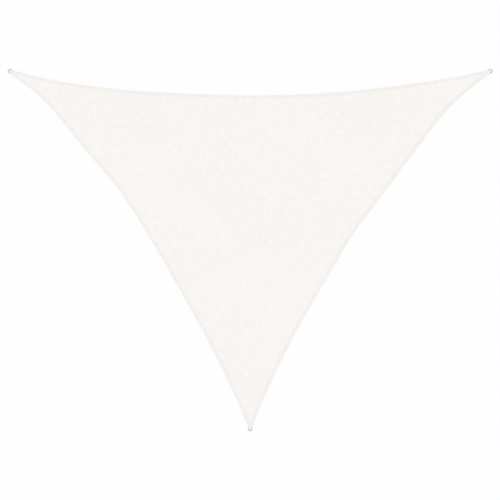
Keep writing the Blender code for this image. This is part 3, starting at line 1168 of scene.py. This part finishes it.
def woven_webbing():
    """Polyester webbing: lengthwise cords crossed by picks, in a herringbone."""
    tab = bpy.context.scene.sail_tabs
    finish = Finish("webbing")
    across = finish.attribute("across")
    slant = finish.maths("PINGPONG", across, tab.cord)
    pick = finish.wave(finish.maths("ADD", finish.attribute("along"), slant), PICK)
    pick_height = finish.spread(pick, 0.6, 1.0)
    cord_height = finish.spread(finish.wave(across, tab.cord), 0.55, 1.0)
    weave = finish.maths("MULTIPLY", cord_height, pick_height)
    # painted shade: the webbing's colour is darker in the weave's hollows between cords and picks
    weave_painted_shade = finish.spread(weave, 0.90, 1.03)
    dust = finish.noise(finish.place(), DUST_PATCH, detail=3.0)
    dust_shade = finish.spread(dust, 0.975, 1.01)
    finish.set(
        Base_Color=finish.shaded(tab.colour, weave_painted_shade, dust_shade),
        Roughness=finish.spread(weave, 0.80, 0.55),
        Specular_IOR_Level=0.35,
        Sheen_Weight=0.1,
    )
    finish.bump(weave, WEAVE_RELIEF)
    return finish.material


MARK = 1.6 * MM                 # length of the fine marks on the steel
MARK_STRETCH = 7.0              # how much longer than wide they are
MARK_DEPTH = 0.012 * MM
HAZE_PATCH = 9 * MM


def polished_steel():
    """Polished stainless steel with fine handling marks."""
    ring = bpy.context.scene.sail_rings
    finish = Finish("ring_steel")
    place = finish.place()
    stretched = finish.stretched(place, (1.0, MARK_STRETCH, 1.0))
    marks = finish.noise(stretched, MARK, detail=4.0, roughness=0.7)
    haze = finish.noise(place, HAZE_PATCH)
    haze_shade = finish.spread(haze, 0.93, 1.05)
    haze_roughness = finish.spread(haze, 0.12, 0.22)
    mark_roughness = finish.spread(marks, 0.0, 0.10)
    finish.set(
        Base_Color=finish.shaded(ring.colour, haze_shade),
        Metallic=1.0,
        Roughness=finish.maths("ADD", haze_roughness, mark_roughness),
    )
    finish.bump(marks, MARK_DEPTH)
    return finish.material


def pale_floor():
    """Matt and plain, without a reflection."""
    studio = bpy.context.scene.sail_studio
    finish = Finish("studio_floor")
    finish.set(Base_Color=(*studio.floor, 1.0), Roughness=0.9, Specular_IOR_Level=0.0)
    return finish.material


# ---------------------------------------------------------------- operators

def finish_piece(piece, slot, *nodes):
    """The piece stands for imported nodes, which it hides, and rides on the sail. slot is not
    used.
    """
    if nodes:
        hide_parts(*nodes)
    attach(piece, BODY)


class SAIL_OT_cloth(bpy.types.Operator):
    """Make the knitted cloth with its turned hem"""

    bl_idname = "shade_sail.cloth"
    bl_label = "Cloth"

    def execute(self, context):
        cloth = new_object("cloth", cloth_mesh(), knitted_cloth())
        finish_piece(cloth, "knitted_cloth", "sail_cloth")
        return {"FINISHED"}


ROW_STEP = 4 * MM               # between the points of a row's line
TAB_CLEARANCE = 1 * MM          # between a row's end and the tab
TIP_CLEARANCE = 3 * MM          # between a row's end and the cloth's tip
HEM_THREAD_HEIGHT = 2.72 * MM   # middle of the thread on the hem, above its underside
LOW_THREAD_HEIGHT = 0.42 * MM   # middle of the thread under a hem or tab
TAB_THREAD_RISE = 0.22 * MM     # middle of the thread on a tab, above its dip
HEM_SLANT = math.radians(5)     # of the stitches, out of their row
TAB_SLANT = math.radians(4)
UNEVENNESS = math.radians(3)    # how much the slants differ
TAB_THREAD_SHARE = 0.9          # the tabs' thread is finer than the hem's
TAB_SEED_STEP = 10              # keeps the tabs' seeds apart from the hems'


def clear_of_tabs(side, plan):
    """Which points of a sewn row are neither under a tab nor too near to a tip."""
    half_tab = bpy.context.scene.sail_tabs.width / 2
    clear = np.ones(len(plan), bool)
    for corner in (side.start, side.end):
        behind = behind_bar(corner, plan)
        beside = np.abs((plan - corner.bar_centre) @ corner.across)
        under_tab = (behind < TAB_LEG + TAB_CLEARANCE) & (beside < half_tab + TAB_CLEARANCE)
        clear &= ~under_tab & (behind > TIP_TO_BAR + TIP_CLEARANCE)
    return clear


def hem_rows(number, upper):
    """Lines of sewing along one side, on its hem's upper face or under it."""
    side = SIDES[number]
    lines = []
    for inset in SEWN_INSETS:
        start, end = side_ends(number, inset)
        places = np.arange(start, end, ROW_STEP)
        plan = side.at(places, inset)
        clear = clear_of_tabs(side, plan)
        plan, places = plan[clear], places[clear]
        height = ground_height(plan, number, places, inset)
        if upper:
            height = height + HEM_THREAD_HEIGHT + pucker_height(plan, number, places, inset)
        else:
            height = height + LOW_THREAD_HEIGHT
        lines.append(np.column_stack((plan, height)))
    return lines


class SAIL_OT_hem_sewing(bpy.types.Operator):
    """Sew two rows along each side's hem, seen on both faces"""

    bl_idname = "shade_sail.hem_sewing"
    bl_label = "Hem Sewing"

    def execute(self, context):
        sewing = context.scene.sail_sewing
        tree = stitch_tree()
        thread = sewing_thread()
        for number, name in enumerate(("left", "right", "top")):
            lines = hem_rows(number, upper=True) + hem_rows(number, upper=False)
            piece = grown("hem_stitches_" + name, lines, False, tree, {
                "Stitch Pitch": sewing.pitch,
                "Thread Thickness": sewing.thread,
                "Slant": HEM_SLANT,
                "Unevenness": UNEVENNESS,
                "Seed": sewing.seed + number,
                "Material": thread,
            })
            finish_piece(piece, "knitted_cloth")
        return {"FINISHED"}


class SAIL_OT_tabs(bpy.types.Operator):
    """Make the webbing tab at each corner"""

    bl_idname = "shade_sail.tabs"
    bl_label = "Webbing Tabs"

    def execute(self, context):
        webbing = woven_webbing()
        for name, corner in CORNERS.items():
            tab = new_object("webbing_tab_" + name, tab_mesh(corner), webbing)
            finish_piece(tab, "webbing", "tab_" + name)
        return {"FINISHED"}


def tab_rows(corner):
    """Lines of the sewn box and its cross, on both legs of one tab."""
    upper = UPPER_LEG_HEIGHT + WEBBING / 2 - SEWN_DIP + TAB_THREAD_RISE
    lines = []
    for height in (upper, LOW_THREAD_HEIGHT):
        for line in box_stitch_lines():
            local = np.array([(x, y, 0.0) for x, y in line])
            lines.append(place_at_corner(local, corner, height))
    return lines


class SAIL_OT_tab_sewing(bpy.types.Operator):
    """Sew a crossed box through each tab"""

    bl_idname = "shade_sail.tab_sewing"
    bl_label = "Tab Sewing"

    def execute(self, context):
        sewing = context.scene.sail_sewing
        tree = stitch_tree()
        thread = sewing_thread()
        for number, (name, corner) in enumerate(CORNERS.items()):
            piece = grown("tab_stitches_" + name, tab_rows(corner), False, tree, {
                "Stitch Pitch": sewing.tab_pitch,
                "Thread Thickness": sewing.thread * TAB_THREAD_SHARE,
                "Slant": TAB_SLANT,
                "Unevenness": UNEVENNESS,
                "Seed": sewing.seed + TAB_SEED_STEP + number,
                "Material": thread,
            })
            finish_piece(piece, "webbing")
        return {"FINISHED"}


class SAIL_OT_rings(bpy.types.Operator):
    """Make the D-ring at each corner"""

    bl_idname = "shade_sail.rings"
    bl_label = "D-Rings"

    def execute(self, context):
        ring = context.scene.sail_rings
        tree = wire_tree()
        steel = polished_steel()
        for name, corner in CORNERS.items():
            line = place_at_corner(ring_path(), corner, BAR_HEIGHT, RING_TILT)
            piece = grown("d_ring_" + name, [line], True, tree, {
                "Wire Diameter": ring.wire,
                "Sides": ring.sides,
                "Material": steel,
            })
            finish_piece(piece, "ring_steel", "ring_" + name)
        return {"FINISHED"}


FLOOR_SIZE = 120.0
VIEW_CENTRE = (-2.5 * MM, 1.6 * MM)     # the point of the floor in the middle of the picture
KEY_TILT = 28.0                 # of the soft light, in degrees from straight above
KEY_TURN = 35.0                 # and its turn about the upright, in degrees
KEY_SPREAD = 40.0               # its apparent size, in degrees
SENSOR = 36.0                   # width of the camera's sensor, in millimetres


def make_floor():
    mesh = bpy.data.meshes.new("studio_floor")
    bm = bmesh.new()
    bmesh.ops.create_grid(bm, x_segments=1, y_segments=1, size=FLOOR_SIZE / 2)
    bm.to_mesh(mesh)
    bm.free()
    return new_object("studio_floor", mesh, pale_floor())


def light_room(scene):
    """Even light from all round, and one soft light from above."""
    world = bpy.data.worlds.new("studio_room")
    world.use_nodes = True
    background = world.node_tree.nodes["Background"]
    background.inputs["Color"].default_value = (1.0, 1.0, 1.0, 1.0)
    background.inputs["Strength"].default_value = scene.sail_studio.sky
    scene.world = world

    key = bpy.data.lights.new("studio_key", "SUN")
    key.energy = scene.sail_studio.key
    key.angle = math.radians(KEY_SPREAD)
    key_object = bpy.data.objects.new("studio_key", key)
    key_object.rotation_euler = (math.radians(KEY_TILT), 0.0, math.radians(KEY_TURN))
    scene.collection.objects.link(key_object)


def hang_camera(scene):
    """A camera that looks straight down on the sail, as the photograph does."""
    studio = scene.sail_studio
    camera = bpy.data.cameras.new("overhead_camera")
    camera.sensor_width = SENSOR
    camera.lens = studio.lens
    camera_object = bpy.data.objects.new("overhead_camera", camera)
    camera_object.location = (*VIEW_CENTRE, studio.view_width * studio.lens / SENSOR)
    scene.collection.objects.link(camera_object)
    scene.camera = camera_object
    scene.view_settings.view_transform = "Standard"


class SAIL_OT_studio(bpy.types.Operator):
    """Set up the pale floor, the soft light and the camera above the sail"""

    bl_idname = "shade_sail.studio"
    bl_label = "Studio"

    def execute(self, context):
        make_floor()
        light_room(context.scene)
        hang_camera(context.scene)
        return {"FINISHED"}


OPERATORS = (SAIL_OT_cloth, SAIL_OT_hem_sewing, SAIL_OT_tabs, SAIL_OT_tab_sewing,
             SAIL_OT_rings, SAIL_OT_studio)


class SAIL_PT_panel(bpy.types.Panel):
    """Settings and steps of the shade sail"""

    bl_idname = "SAIL_PT_panel"
    bl_label = "Shade Sail"
    bl_space_type = "VIEW_3D"
    bl_region_type = "UI"
    bl_category = "Shade Sail"

    def draw(self, context):
        for name, settings in SETTINGS.items():
            box = self.layout.box()
            box.label(text=name.replace("_", " ").title())
            for key in settings.__annotations__:
                box.prop(getattr(context.scene, name), key)
        for operator in OPERATORS:
            self.layout.operator(operator.bl_idname)


def register():
    for name, settings in SETTINGS.items():
        bpy.utils.register_class(settings)
        setattr(bpy.types.Scene, name, bpy.props.PointerProperty(type=settings))
    for operator in OPERATORS:
        bpy.utils.register_class(operator)
    bpy.utils.register_class(SAIL_PT_panel)


def unregister():
    bpy.utils.unregister_class(SAIL_PT_panel)
    for operator in reversed(OPERATORS):
        bpy.utils.unregister_class(operator)
    for name, settings in reversed(list(SETTINGS.items())):
        delattr(bpy.types.Scene, name)
        bpy.utils.unregister_class(settings)


def main():
    register()
    bpy.ops.shade_sail.cloth()
    bpy.ops.shade_sail.hem_sewing()
    bpy.ops.shade_sail.tabs()
    bpy.ops.shade_sail.tab_sewing()
    bpy.ops.shade_sail.rings()
    bpy.ops.shade_sail.studio()


if __name__ == "__main__":
    main()
